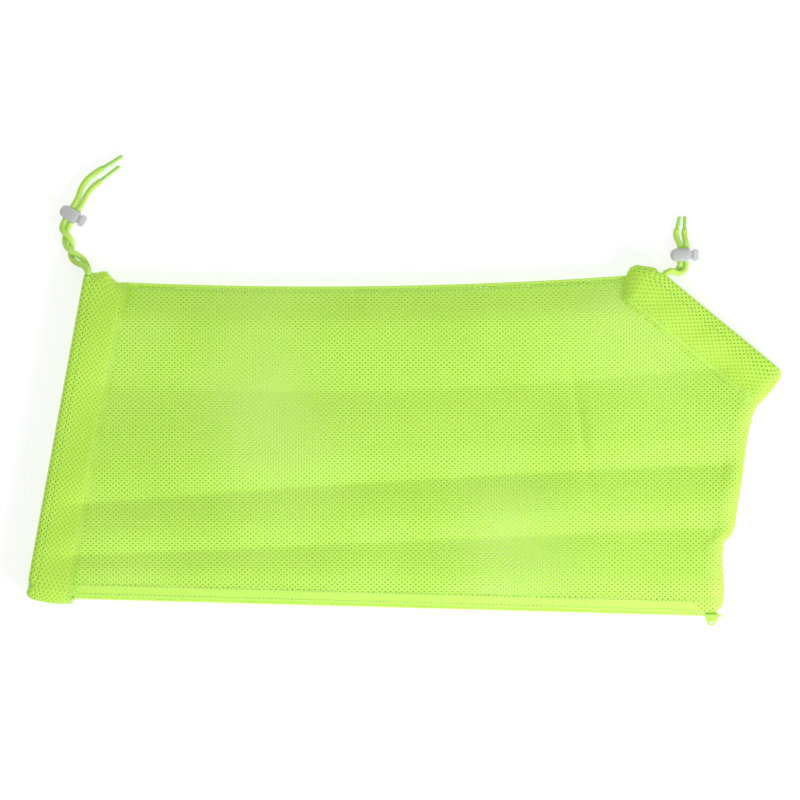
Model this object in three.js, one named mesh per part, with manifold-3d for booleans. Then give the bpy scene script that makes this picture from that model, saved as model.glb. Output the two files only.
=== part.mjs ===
// A flat-lying drawstring mesh bag: two mesh panels, a drawcord casing at each
// mouth, a zip along the bottom edge and a spring cord lock on each pair of
// cord ends. Millimetres, +Z up. The origin is under the middle of the bag.
import * as THREE from 'three';
import Module from 'manifold-3d';
import { mergeVertices } from 'three/addons/utils/BufferGeometryUtils.js';

const wasm = await Module();
wasm.setup();

// ---------- driving dimensions ----------
const HEIGHT = 17;            // the bag as it lies, hem rolls on one another
const MIDDLE = HEIGHT / 2;    // height of the seams along its edges
const GAP = 0.3;              // clearance between sewn pieces
const MESH = 0.7;             // thickness of the mesh cloth
const TAPER = 30;             // width over which a panel rises from an edge
const RISE = MIDDLE - GAP / 2 - MESH;

const CORD_R = 2.05;          // round braided drawcord
const CHANNEL_R = 2.4;        // tunnel for the cord in a hem
const ROLL_R = 3.0;           // outside of the rolled hem edge
const HEM_WIDTH = 32;         // hem band, from the mouth to its stitching
const HEM_WALL = 0.6;
const ROLL_LOW = ROLL_R;
const ROLL_HIGH = HEIGHT - ROLL_R;
const ROLL_TURN = (ROLL_HIGH - ROLL_LOW) / 2;

// Each mouth is a straight line on the floor plan. Local x runs into the bag,
// local y along the mouth. The cord leaves at y = exit.
const LEFT_MOUTH = { x: -263, y: -102.1, angle: -10.34, length: 223.6 };
const RIGHT_MOUTH = { x: 171.57, y: 128.08, angle: -129.36, length: 119.2 };
const SIDE_EXIT = 14;         // where the right cord turns out of its hem
const EXIT_TURN = 5;

// Bottom edge of the bag, a straight line that carries the zip.
const ZIP_X = -228.4;
const ZIP_Y = -108.0;
const ZIP_ANGLE = -1.55;
const TAPE_LENGTH = 434;
const TAPE_EDGE = 2.0;
const TAPE_WIDTH = 9.3;
const TAPE = 0.6;
const CHAIN_LENGTH = 448.6;
const COIL_R = 0.75;
const COIL_RISE = 1.45;       // each coil half above or below the seam height
const COIL_IN = 0.9;
const STOP_LENGTH = 1.6;
const SLIDER_LENGTH = 8.4;
const SLIDER_AT = 444;        // middle of the slider from the chain's start
const PIN_R = 0.55;
const PIN_OUT = 2.6;
const PULL_REACH = 3.8;      // from the pin to the end of the pull
const PULL_WIDTH = 5.2;
const PULL_RIM = 1.1;         // metal round the eye of the pull

const BINDING_WIDTH = 12.6;
const BINDING_WALL = 0.8;

const TIP_R = 1.3;
const LEFT_TIP = 16.5;
const RIGHT_TIP = 9;

// Spring cord lock. Local x is the button's axis, local y the cords' way.
const LOCK_BACK = -9.0;
const LOCK_FRONT = 5.4;
const LOCK_DEPTH = 10;
const LOCK_THICK = 9;
const LOCK_WALL = 0.8;
const BORE_DEPTH = 6.8;
const BORE_THICK = 6.4;
const HOLE_LENGTH = 8.8;
const HOLE_THICK = 4.8;
const BUTTON_END = 11;
const PLUNGER_BACK = -5.2;
const PLUNGER_SLOT_BACK = -4.4;
const PLUNGER_SLOT_FRONT = 5.9;
const BUTTON_HEAD_AT = 7.2;
const STRAND_APART = 4.3;
const LEFT_LOCK = { x: -231.6, y: 160.5, angle: -30 };
const RIGHT_LOCK = { x: 195.8, y: 132.5, angle: 0 };
const LOCK_Z = LOCK_THICK / 2;
const SPRING_WIRE = 0.3;
const SPRING_R = 2.0;
const SPRING_TURNS = 2.25;

// ---------- materials ----------
const cloth = (color) => new THREE.MeshStandardMaterial({ color, roughness: 0.85, metalness: 0 });
const LIME = cloth(0xc9f05c);
const LIME_HEM = cloth(0xbfe855);
const LIME_TAPE = cloth(0xcff57a);
const LIME_CORD = cloth(0xb6e365);
const FROSTED = new THREE.MeshStandardMaterial({ color: 0xc6cbcf, roughness: 0.35, metalness: 0 });
const PLASTIC = new THREE.MeshStandardMaterial({ color: 0xc4ea62, roughness: 0.45, metalness: 0 });
const STEEL = new THREE.MeshStandardMaterial({ color: 0xb9bcc0, roughness: 0.3, metalness: 1 });

// ---------- helpers ----------
const bag = new THREE.Group();

function toSolid(geometry) {
  const bare = geometry.clone();
  bare.deleteAttribute('normal');
  bare.deleteAttribute('uv');
  const merged = mergeVertices(bare, 1e-4);
  return new wasm.Manifold(new wasm.Mesh({
    numProp: 3,
    vertProperties: Float32Array.from(merged.attributes.position.array),
    triVerts: Uint32Array.from(merged.index.array),
  }));
}

function toGeometry(solid) {
  const mesh = solid.getMesh();
  const geometry = new THREE.BufferGeometry();
  geometry.setAttribute('position', new THREE.BufferAttribute(mesh.vertProperties, 3));
  geometry.setIndex(new THREE.BufferAttribute(mesh.triVerts, 1));
  geometry.computeVertexNormals();
  return geometry;
}

const cut = (body, tool) => toGeometry(toSolid(body).subtract(toSolid(tool)));
const join = (body, other) => toGeometry(toSolid(body).add(toSolid(other)));
const common = (body, other) => toGeometry(toSolid(body).intersect(toSolid(other)));

function addPiece(name, geometry, material, parent = bag) {
  const piece = new THREE.Mesh(geometry, material);
  piece.name = name;
  parent.add(piece);
  return piece;
}

function place({ x, y, angle }, z = 0) {
  const group = new THREE.Group();
  group.position.set(x, y, z);
  group.rotation.z = THREE.MathUtils.degToRad(angle);
  bag.add(group);
  return group;
}

function polygon(points) {
  return new THREE.Shape(points.map(([x, y]) => new THREE.Vector2(x, y)));
}

// A section drawn in the (y, z) plane, run along x from start to start + length.
function runAlongX(shape, start, length, steps = 1) {
  const geometry = new THREE.ExtrudeGeometry(shape, {
    depth: length, steps, bevelEnabled: false, curveSegments: 8,
  });
  const turn = new THREE.Matrix4().makeBasis(
    new THREE.Vector3(0, 1, 0), new THREE.Vector3(0, 0, 1), new THREE.Vector3(1, 0, 0));
  geometry.applyMatrix4(turn);
  geometry.translate(start, 0, 0);
  return geometry;
}

function box(x0, x1, y0, y1, z0, z1) {
  const geometry = new THREE.BoxGeometry(x1 - x0, y1 - y0, z1 - z0);
  return geometry.translate((x0 + x1) / 2, (y0 + y1) / 2, (z0 + z1) / 2);
}

function circle(radius, sides) {
  const corners = Array.from({ length: sides }, (_, i) => {
    const turn = (2 * Math.PI * (i + 0.5)) / sides;
    return [radius * Math.cos(turn), radius * Math.sin(turn)];
  });
  return polygon(corners);
}

function tube(curve, radius, sides, steps) {
  return new THREE.ExtrudeGeometry(circle(radius, sides), { steps, extrudePath: curve });
}

function curveThrough(points) {
  const route = points.map(([x, y, z]) => new THREE.Vector3(x, y, z));
  return new THREE.CatmullRomCurve3(route, false, 'centripetal');
}

// ---------- mesh panels ----------
const bottomY = (x) => ZIP_Y + Math.tan(THREE.MathUtils.degToRad(ZIP_ANGLE)) * (x - ZIP_X);
const topY = (x) => 110 + 6.5 * ((x + 60) / 200) ** 2;
const PANEL_WIDTH = 224;
const PANEL_START = -245;
const PANEL_LENGTH = 500;
const PANEL_FOOT = 12.2;

const rise = (inset) => RISE * Math.sin((Math.PI / 2) * Math.min(inset / TAPER, 1));

// side is +1 for the front panel and -1 for the back one.
function panelGeometry(side) {
  const insets = [PANEL_FOOT, 17, 23, TAPER, PANEL_WIDTH / 2,
    PANEL_WIDTH - TAPER, PANEL_WIDTH - 22, PANEL_WIDTH - 15, PANEL_WIDTH - 9, PANEL_WIDTH - 4, PANEL_WIDTH];
  const inner = insets.map((s) => {
    return [s, MIDDLE + side * (GAP / 2 + rise(Math.min(s, PANEL_WIDTH - s)))];
  });
  const outer = inner.map(([s, z]) => [s, z + side * MESH]).reverse();
  const geometry = runAlongX(polygon([...inner, ...outer]), PANEL_START, PANEL_LENGTH, 12);
  const position = geometry.attributes.position;
  for (let i = 0; i < position.count; i += 1) {
    const x = position.getX(i);
    const across = position.getY(i) / PANEL_WIDTH;
    position.setY(i, THREE.MathUtils.lerp(bottomY(x), topY(x), across));
  }
  return geometry;
}

// ---------- side binding ----------
const SIDE_EDGE = [
  [243.9, 24.6], [241, 4], [238, -18], [233.2, -46], [226.8, -64], [224, -80], [223.3, -98], [221.5, -116.4],
];
const sideCurve = curveThrough(SIDE_EDGE.map(([x, y]) => [x, y, 0]));

function bindingGeometry() {
  const arc = Array.from({ length: 13 }, (_, i) => -Math.PI / 2 + (Math.PI * i) / 12);
  const halfLens = (width, half) => {
    return arc.map((a) => [MIDDLE + half * Math.sin(a), width * Math.cos(a) - BINDING_WIDTH]);
  };
  const outside = halfLens(BINDING_WIDTH, MIDDLE);
  const inside = halfLens(BINDING_WIDTH - BINDING_WALL, MIDDLE - BINDING_WALL).reverse();
  const section = [...outside, ...inside].map(([z, out]) => [-z, out]);
  return new THREE.ExtrudeGeometry(polygon(section), { steps: 16, extrudePath: sideCurve });
}

// ---------- plan of the panels, inside the hems and the binding ----------
function mouthPoint(mouth, along, inward) {
  const turn = THREE.MathUtils.degToRad(mouth.angle);
  return [
    mouth.x + inward * Math.cos(turn) - along * Math.sin(turn),
    mouth.y + inward * Math.sin(turn) + along * Math.cos(turn),
  ];
}

function panelPlan() {
  const hemLine = HEM_WIDTH + GAP;
  const sideLine = sideCurve.getPoints(10).map((point, i) => {
    const along = sideCurve.getTangent(i / 10);
    const inset = BINDING_WIDTH + GAP + 0.3;
    return [point.x + along.y * inset, point.y - along.x * inset];
  });
  const low = sideLine[sideLine.length - 1];
  const corners = [
    mouthPoint(LEFT_MOUTH, -30, hemLine),
    [low[0], -150],
    ...sideLine.reverse(),
    mouthPoint(RIGHT_MOUTH, RIGHT_MOUTH.length, hemLine),
    mouthPoint(RIGHT_MOUTH, -GAP, hemLine),
    mouthPoint(RIGHT_MOUTH, -GAP, -20),
    mouthPoint(LEFT_MOUTH, LEFT_MOUTH.length + 30, hemLine),
  ];
  const prism = new THREE.ExtrudeGeometry(polygon(corners), { depth: HEIGHT + 2, bevelEnabled: false });
  return prism.translate(0, 0, -1);
}

const plan = panelPlan();
addPiece('front_panel', common(panelGeometry(1), plan), LIME);
addPiece('back_panel', common(panelGeometry(-1), plan), LIME);
addPiece('side_binding', bindingGeometry(), LIME_TAPE);

// ---------- drawcord casings ----------
function stadium(inset, length) {
  const radius = MIDDLE - inset;
  const shape = new THREE.Path();
  shape.absarc(length - MIDDLE, MIDDLE, radius, -Math.PI / 2, Math.PI / 2, false);
  shape.absarc(MIDDLE, MIDDLE, radius, Math.PI / 2, (3 * Math.PI) / 2, false);
  return shape;
}

// A curve that is swept station by station, however far apart they are.
class StationCurve extends THREE.CatmullRomCurve3 {
  getUtoTmapping(u) {
    return u;
  }
}

// The cord's way round the mouth: along the upper roll, down round the far end
// and back along the lower roll. near and far are local y. sideways turns both
// ends out of the hem.
function roundTheMouth(near, far, sideways = 0) {
  const heading = Math.sign(near - far);
  const along = (z) => [0, 0.25, 0.5, 0.75, 1].map((k) => {
    return new THREE.Vector3(ROLL_R, THREE.MathUtils.lerp(near, far, k), z);
  });
  const bend = (z) => Array.from({ length: 5 }, (_, i) => {
    const a = (Math.PI / 2) * (1 - i / 5);
    return new THREE.Vector3(
      ROLL_R - EXIT_TURN * (1 - Math.cos(a)), near + heading * EXIT_TURN * Math.sin(a), z);
  });
  const out = (z) => {
    const last = new THREE.Vector3(ROLL_R - EXIT_TURN - sideways, near + heading * EXIT_TURN, z);
    return sideways > 0 ? [last, ...bend(z)] : [];
  };
  const turn = Array.from({ length: 7 }, (_, i) => {
    const a = (Math.PI * (i + 1)) / 8;
    return new THREE.Vector3(ROLL_R, far - heading * ROLL_TURN * Math.sin(a), MIDDLE + ROLL_TURN * Math.cos(a));
  });
  return [
    ...out(ROLL_HIGH), ...along(ROLL_HIGH), ...turn,
    ...along(ROLL_LOW).reverse(), ...out(ROLL_LOW).reverse(),
  ];
}

function sweepStations(stations, radius, sides) {
  const way = new StationCurve(stations, false, 'centripetal');
  return tube(way, radius, sides, stations.length - 1);
}

function casingGeometry(mouth, rollWay, channelWay) {
  const outline = new THREE.Shape(stadium(0, mouth.length).getPoints(10));
  outline.holes.push(new THREE.Path(stadium(HEM_WALL, mouth.length).getPoints(10)));
  const band = runAlongX(outline, ROLL_R, HEM_WIDTH - ROLL_R);
  const roll = sweepStations(rollWay, ROLL_R, 12);
  return cut(join(band, roll), sweepStations(channelWay, CHANNEL_R, 12));
}

const leftFar = MIDDLE;
const leftEnd = LEFT_MOUTH.length;
const leftHem = place(LEFT_MOUTH);
addPiece('left_casing', casingGeometry(LEFT_MOUTH,
  roundTheMouth(leftEnd - 3, leftFar), roundTheMouth(leftEnd + 9, leftFar)), LIME_HEM, leftHem);
addPiece('left_drawcord', sweepStations(roundTheMouth(leftEnd, leftFar), CORD_R, 8), LIME_CORD, leftHem);

const rightFar = RIGHT_MOUTH.length - MIDDLE;
const rightHem = place(RIGHT_MOUTH);
addPiece('right_casing', casingGeometry(RIGHT_MOUTH,
  roundTheMouth(3, rightFar), roundTheMouth(SIDE_EXIT, rightFar, 4)), LIME_HEM, rightHem);
addPiece('right_drawcord', sweepStations(roundTheMouth(SIDE_EXIT, rightFar, 0.2), CORD_R, 8), LIME_CORD, rightHem);

// ---------- zip ----------
const zip = place({ x: ZIP_X, y: ZIP_Y, angle: ZIP_ANGLE });

function tapeGeometry(side) {
  const insets = [0, 0.25, 0.5, 0.75, 1].map((k) => TAPE_EDGE + k * TAPE_WIDTH);
  const inner = insets.map((s) => [s, MIDDLE + side * (GAP / 2 + rise(s))]);
  const outer = inner.map(([s, z]) => [s, z + side * TAPE]).reverse();
  return runAlongX(polygon([...inner, ...outer]), 0, TAPE_LENGTH);
}

function coilGeometry(side) {
  const rod = circle(COIL_R, 8).getPoints().map((p) => [p.x + COIL_IN, p.y + MIDDLE + side * COIL_RISE]);
  return runAlongX(polygon(rod), 0, CHAIN_LENGTH);
}

for (const [half, side] of [['front', 1], ['back', -1]]) {
  addPiece(`zip_tape_${half}`, tapeGeometry(side), LIME_TAPE, zip);
  addPiece(`zip_coil_${half}`, coilGeometry(side), PLASTIC, zip);
}

// Slider section: an outer plate with two flanges over the coil halves, a web
// between them and an inner plate that keeps the slider on the chain.
function sliderGeometry() {
  const upper = [
    [-1.4, 3.3], [1.6, 3.3], [1.6, 2.5], [-0.4, 2.5], [-0.4, 0.4], [2.2, 0.4], [2.2, 0.8], [3.2, 0.8],
  ];
  const lower = upper.map(([y, z]) => [y, -z]).reverse();
  const section = [...upper, ...lower].map(([y, z]) => [y, z + MIDDLE]).reverse();
  const body = runAlongX(polygon(section), -SLIDER_LENGTH / 2, SLIDER_LENGTH);
  const lug = (x) => box(x - 0.6, x + 0.6, -PIN_OUT - 1.0, -1.2, MIDDLE - 1.2, MIDDLE + 1.2);
  const lugs = join(join(body, lug(-3.4)), lug(3.4));
  return cut(lugs, runAlongX(circleAt(PIN_R + 0.15, -PIN_OUT), -6, 12));
}

function circleAt(radius, y) {
  return polygon(circle(radius, 8).getPoints().map((p) => [p.x + y, p.y + MIDDLE]));
}

function pullGeometry() {
  const knuckle = runAlongX(circleAt(1.05, -PIN_OUT), -PULL_WIDTH / 2, PULL_WIDTH);
  const tab = box(-PULL_WIDTH / 2, PULL_WIDTH / 2, -PIN_OUT - PULL_REACH, -PIN_OUT, MIDDLE - 0.6, MIDDLE + 0.6);
  const eye = box(-PULL_WIDTH / 2 + PULL_RIM, PULL_WIDTH / 2 - PULL_RIM,
    -PIN_OUT - PULL_REACH + PULL_RIM, -PIN_OUT - 1.4, 0, HEIGHT);
  const bore = runAlongX(circleAt(PIN_R + 0.1, -PIN_OUT), -6, 12);
  return cut(cut(join(knuckle, tab), bore), eye);
}

const slider = new THREE.Group();
slider.position.x = SLIDER_AT;
zip.add(slider);
addPiece('zip_slider', sliderGeometry(), PLASTIC, slider);
addPiece('zip_pull_pin', runAlongX(circleAt(PIN_R - 0.1, -PIN_OUT), -4, 8), STEEL, slider);
addPiece('zip_pull', pullGeometry(), PLASTIC, slider);

function stopGeometry(x) {
  return box(x, x + STOP_LENGTH, -0.3, 1.9, MIDDLE - 2.4, MIDDLE + 2.4);
}
addPiece('zip_stop_closed_end', stopGeometry(CHAIN_LENGTH + GAP), STEEL, zip);
addPiece('zip_stop_open_end', stopGeometry(-STOP_LENGTH - GAP), STEEL, zip);

// ---------- cord locks ----------
function lockBodyGeometry() {
  const half = LOCK_DEPTH / 2;
  const shell = new THREE.Shape();
  const round = 2.4;
  shell.moveTo(LOCK_FRONT, -half);
  shell.lineTo(LOCK_FRONT, half);
  shell.lineTo(LOCK_BACK + round, half);
  shell.absarc(LOCK_BACK + round, half - round, round, Math.PI / 2, Math.PI, false);
  shell.absarc(LOCK_BACK + round, -half + round, round, Math.PI, 1.5 * Math.PI, false);
  shell.closePath();
  const bevel = 0.8;
  const outer = new THREE.ExtrudeGeometry(new THREE.Shape(shell.getPoints(5)), {
    depth: LOCK_THICK - 2 * bevel, bevelThickness: bevel, bevelSize: bevel, bevelOffset: -bevel,
    bevelSegments: 2, steps: 1,
  }).translate(0, 0, -LOCK_THICK / 2 + bevel);
  const bore = box(LOCK_BACK + LOCK_WALL, LOCK_FRONT + 1, -BORE_DEPTH / 2, BORE_DEPTH / 2,
    -BORE_THICK / 2, BORE_THICK / 2);
  const hole = box(-HOLE_LENGTH / 2, HOLE_LENGTH / 2, -LOCK_DEPTH, LOCK_DEPTH, -HOLE_THICK / 2, HOLE_THICK / 2);
  return cut(cut(outer, bore), hole);
}

function buttonGeometry() {
  const slack = GAP;
  const stem = box(PLUNGER_BACK, BUTTON_HEAD_AT + 1, -BORE_DEPTH / 2 + slack, BORE_DEPTH / 2 - slack,
    -BORE_THICK / 2 + slack, BORE_THICK / 2 - slack);
  const headShape = polygon([
    [BUTTON_HEAD_AT, -4.2], [BUTTON_END - 1.4, -4.2], [BUTTON_END, -3.2],
    [BUTTON_END, 3.2], [BUTTON_END - 1.4, 4.2], [BUTTON_HEAD_AT, 4.2],
  ]);
  const head = new THREE.ExtrudeGeometry(headShape, { depth: 7.6, bevelEnabled: false }).translate(0, 0, -3.8);
  const slot = box(PLUNGER_SLOT_BACK, PLUNGER_SLOT_FRONT, -10, 10, -HOLE_THICK / 2, HOLE_THICK / 2);
  return cut(join(stem, head), slot);
}

function springGeometry() {
  const start = LOCK_BACK + LOCK_WALL + SPRING_WIRE + 0.1;
  const length = PLUNGER_BACK - start - SPRING_WIRE - 0.1;
  const turns = Array.from({ length: 25 }, (_, i) => {
    const turn = (2 * Math.PI * SPRING_TURNS * i) / 24;
    return [start + (length * i) / 24, SPRING_R * Math.cos(turn), SPRING_R * Math.sin(turn)];
  });
  return tube(curveThrough(turns), SPRING_WIRE, 6, 36);
}

for (const [name, spot] of [['left', LEFT_LOCK], ['right', RIGHT_LOCK]]) {
  const lock = place(spot, LOCK_Z);
  addPiece(`${name}_lock_body`, lockBodyGeometry(), FROSTED, lock);
  addPiece(`${name}_lock_button`, buttonGeometry(), FROSTED, lock);
  addPiece(`${name}_lock_spring`, springGeometry(), STEEL, lock);
}

// ---------- free cord ends ----------
// Each route runs from its hem, through the lock, to the start of the tip.
// The two left ends twist about each other on the way to their lock. A row is a place
// on their middle line, half the distance between them, and the turn of end a in
// degrees about that line, from level on its right side.
const LEFT_TWIST = [
  [-219.9, 118.0, 8.5, 5.5, 90], [-220.1, 121.1, 7.8, 5.2, 90], [-221.6, 124.6, 6.6, 4.3, 100],
  [-224.3, 127.4, 5.5, 3.3, 125], [-227.6, 129.6, 4.7, 2.6, 160], [-230.4, 132.2, 4.4, 2.3, 215],
  [-232.2, 135.4, 4.4, 2.3, 268], [-233.3, 139.0, 4.4, 2.3, 323], [-234.2, 142.4, 4.4, 2.3, 374],
  [-235.2, 145.6, 4.4, 2.3, 423], [-236.1, 148.6, 4.4, 2.3, 468], [-236.4, 151.2, 4.45, 2.25, 506],
  [-235.7, 153.4, 4.5, 2.15, 540], [-235.1, 154.44, 4.5, 2.15, 540],
];

function twisted(side) {
  const middle = LEFT_TWIST.map(([x, y]) => new THREE.Vector2(x, y));
  return LEFT_TWIST.map(([x, y, z, half, turn], i) => {
    const before = middle[Math.max(i - 1, 0)];
    const after = middle[Math.min(i + 1, middle.length - 1)];
    const way = after.clone().sub(before).normalize();
    const angle = THREE.MathUtils.degToRad(turn);
    const out = side * half * Math.cos(angle);
    return [x + out * way.y, y - out * way.x, z + side * half * Math.sin(angle)];
  });
}

const LEFT_END_A = [
  ...twisted(1), [-229.0, 169.4, 4.5], [-227.5, 172.0, 4.5], [-225.2, 178.8, 3.2],
  [-221.2, 185.2, 2.3], [-215.8, 189.8, 2.2], [-210.4, 193.2, 2.2],
];
const LEFT_END_B = [
  ...twisted(-1), [-225.2, 167.2, 4.5], [-223.7, 169.8, 4.5], [-220.6, 175.6, 3.2],
  [-216.4, 180.6, 2.3], [-211.6, 184.4, 2.2],
];
const RIGHT_END_A = [
  [183.6, 119.9, 14], [186.2, 121.3, 12.9], [189.2, 120.6, 10.8], [191.9, 119.6, 8.4], [194.9, 120.4, 6.2],
  [197.1, 122.6, 5.0], [197.9, 125.6, 4.5], [197.9, 127.0, 4.5], [197.9, 138.0, 4.5], [197.9, 139.5, 4.5],
  [197.4, 143.4, 3.4], [196.8, 147.2, 2.4], [196.9, 150.4, 2.2],
];
const RIGHT_END_B = [
  [183.6, 119.9, 3], [186.6, 121.1, 2.4], [189.8, 121.0, 2.5], [192.4, 122.8, 3.5], [193.6, 125.6, 4.5],
  [193.6, 127.0, 4.5], [193.6, 138.0, 4.5], [193.6, 139.5, 4.5], [191.8, 143.4, 3.4], [190.9, 147.2, 2.4],
  [191.5, 150.4, 2.2],
];
const CORD_ENDS = {
  left_cord_end_a: { route: LEFT_END_A, tip: 'left_tip_a', reach: LEFT_TIP, steps: 44 },
  left_cord_end_b: { route: LEFT_END_B, tip: 'left_tip_b', reach: LEFT_TIP, steps: 40 },
  right_cord_end_a: { route: RIGHT_END_A, tip: 'right_tip_a', reach: RIGHT_TIP, steps: 28 },
  right_cord_end_b: { route: RIGHT_END_B, tip: 'right_tip_b', reach: RIGHT_TIP, steps: 24 },
};

for (const [name, { route, tip, reach, steps }] of Object.entries(CORD_ENDS)) {
  const curve = curveThrough(route);
  addPiece(name, tube(curve, CORD_R, 8, steps), LIME_CORD);
  const heading = curve.getTangent(1);
  const start = curve.getPoint(1).addScaledVector(heading, GAP);
  const end = start.clone().addScaledVector(heading, reach);
  addPiece(tip, tube(new THREE.LineCurve3(start, end), TIP_R, 8, 1), PLASTIC);
}

export default bag;
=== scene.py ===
# %% [markdown]
# A mesh drawstring bag, laid flat. The measured model comes in as a fixed frame, and every piece made here
# lies where its measured solid is. Everything is in metres, with +Z up and the bag's middle at the origin.

# %% Load the frame
import math
import bpy
import bmesh
import numpy as np
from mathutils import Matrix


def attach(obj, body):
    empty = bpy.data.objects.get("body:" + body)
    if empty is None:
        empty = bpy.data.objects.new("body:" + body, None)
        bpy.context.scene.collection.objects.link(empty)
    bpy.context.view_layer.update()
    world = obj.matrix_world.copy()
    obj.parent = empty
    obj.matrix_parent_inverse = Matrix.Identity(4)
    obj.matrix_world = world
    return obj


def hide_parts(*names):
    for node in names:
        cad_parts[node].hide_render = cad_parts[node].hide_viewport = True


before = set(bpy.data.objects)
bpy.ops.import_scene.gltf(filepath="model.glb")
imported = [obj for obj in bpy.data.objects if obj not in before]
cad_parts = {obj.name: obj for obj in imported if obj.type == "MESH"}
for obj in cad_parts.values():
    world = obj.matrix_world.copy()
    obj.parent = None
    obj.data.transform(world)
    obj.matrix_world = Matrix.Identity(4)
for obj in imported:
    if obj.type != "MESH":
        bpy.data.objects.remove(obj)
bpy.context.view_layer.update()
MM = 0.001

# %% [markdown]
# The bag is seen from straight above. A long lens far away keeps its outline almost free of perspective.
# Soft light from all round comes from the world. One lamp low on the near side rakes over the cloth, so
# that its folds show, and a wide one on the far side fills the slope behind them.

# %% Camera and light
VIEW_WIDTH = 0.56
CAMERA_HEIGHT = 3.2
SENSOR = 36.0
VIEW_MIDDLE = (-0.0021, 0.03115)
WORLD_STRENGTH = 0.60
camera = bpy.data.objects.new("camera", bpy.data.cameras.new("camera"))
camera.location = (*VIEW_MIDDLE, CAMERA_HEIGHT)
camera.data.sensor_width = SENSOR
camera.data.lens = SENSOR * CAMERA_HEIGHT / VIEW_WIDTH
bpy.context.collection.objects.link(camera)
bpy.context.scene.camera = camera
bpy.context.scene.view_settings.view_transform = "Standard"

world = bpy.data.worlds.new("studio")
world.use_nodes = True
background = world.node_tree.nodes["Background"]
background.inputs["Color"].default_value = (1, 1, 1, 1)
background.inputs["Strength"].default_value = WORLD_STRENGTH
bpy.context.scene.world = world


def lamp(name, place, size, power):
    """A square area lamp at place that points at the middle of the bag."""
    light = bpy.data.lights.new(name, "AREA")
    light.size = size
    light.energy = power
    thing = bpy.data.objects.new(name, light)
    thing.location = place
    aim = -np.array(place)
    thing.rotation_euler = (math.atan2(math.hypot(aim[0], aim[1]), -aim[2]), 0, math.atan2(-aim[0], aim[1]))
    bpy.context.collection.objects.link(thing)


lamp("near_side", (0.8, -0.8, 0.6), 0.5, 15)
lamp("far_side", (-0.3, 1.6, 1.3), 1.2, 5)

# %% [markdown]
# Each shape is a grid of points worked out by numpy and handed to Blender in one go. The helper takes
# any number of face arrays, each with its own number of corners.

# %% Mesh helpers
def make_piece(name, points, *face_arrays, body="bag"):
    """A mesh object from an (n, 3) array of points and arrays of corner indices, one row a face."""
    mesh = bpy.data.meshes.new(name)
    mesh.vertices.add(len(points))
    mesh.vertices.foreach_set("co", np.ascontiguousarray(points, dtype=np.float32).ravel())
    corners = np.concatenate([f.ravel() for f in face_arrays])
    sizes = np.concatenate([np.full(len(f), f.shape[1]) for f in face_arrays])
    mesh.loops.add(len(corners))
    mesh.loops.foreach_set("vertex_index", corners.astype(np.int32))
    mesh.polygons.add(len(sizes))
    mesh.polygons.foreach_set("loop_start", (np.cumsum(sizes) - sizes).astype(np.int32))
    mesh.update(calc_edges=True)
    mesh.validate()
    mesh.polygons.foreach_set("use_smooth", np.ones(len(mesh.polygons), bool))
    piece = bpy.data.objects.new(name, mesh)
    bpy.context.collection.objects.link(piece)
    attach(piece, body)
    return piece


def unit(v):
    """Each vector divided by its own length."""
    return v / np.linalg.norm(v, axis=-1, keepdims=True)


def grid_faces(rows, sides):
    """Quads of a tube of rows rings with sides points each, closed round the ring."""
    r, k = np.meshgrid(np.arange(rows - 1), np.arange(sides), indexing="ij")
    here, beside = r * sides + k, r * sides + (k + 1) % sides
    return np.stack([here, beside, beside + sides, here + sides], -1).reshape(-1, 4)


def sweep(name, rings):
    """Rings of points, one after another, joined by quads and closed by a face at each end."""
    rows, sides = rings.shape[:2]
    low_cap = np.arange(sides)[None, ::-1]
    high_cap = low_cap[:, ::-1] + (rows - 1) * sides
    return make_piece(name, rings.reshape(-1, 3), grid_faces(rows, sides), low_cap, high_cap)


def carried_sides(along, first):
    """Each station's side is the one before it made square to the path again, so nothing twists."""
    sides = np.empty_like(along)
    side = first
    for k, forward in enumerate(along):
        side = unit(side - forward * (side @ forward))
        sides[k] = side
    return sides


def tube(name, path, radius, sides, reference):
    """A round tube: point = path + radius (cos a * side + sin a * over), side first square to reference."""
    along = unit(np.gradient(path, axis=0))
    side = carried_sides(along, np.cross(along[0], reference))
    over = np.cross(side, along)
    a = 2 * np.pi * np.arange(sides) / sides
    radius = np.broadcast_to(radius, (len(path), sides))
    spokes = np.cos(a)[None, :, None] * side[:, None] + np.sin(a)[None, :, None] * over[:, None]
    rings = path[:, None] + radius[..., None] * spokes
    return sweep(name, rings[:, ::-1])


def smooth_route(points, step):
    """The centripetal Catmull-Rom curve through the points, sampled every step metres."""
    p = np.asarray(points, float)
    p = np.vstack([2 * p[0] - p[1], p, 2 * p[-1] - p[-2]])
    knots = np.concatenate([[0], np.cumsum(np.linalg.norm(np.diff(p, axis=0), axis=1) ** 0.5)])
    pieces = []
    for i in range(1, len(p) - 2):
        t = np.linspace(knots[i], knots[i + 1], 24, endpoint=False)[:, None]
        k = knots[i - 1:i + 3]
        a = [((k[j + 1] - t) * p[i - 1 + j] + (t - k[j]) * p[i + j]) / (k[j + 1] - k[j]) for j in range(3)]
        b = [((k[j + 2] - t) * a[j] + (t - k[j]) * a[j + 1]) / (k[j + 2] - k[j]) for j in range(2)]
        pieces.append(((k[2] - t) * b[0] + (t - k[1]) * b[1]) / (k[2] - k[1]))
    fine = np.vstack([*pieces, p[-2:-1]])
    run = np.concatenate([[0], np.cumsum(np.linalg.norm(np.diff(fine, axis=0), axis=1))])
    even = np.linspace(0, run[-1], max(2, int(run[-1] / step)))
    return np.stack([np.interp(even, run, fine[:, c]) for c in range(3)], 1)


def length_of(path):
    """The sum of the distances from each point to the next."""
    return float(np.linalg.norm(np.diff(path, axis=0), axis=1).sum())


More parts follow.
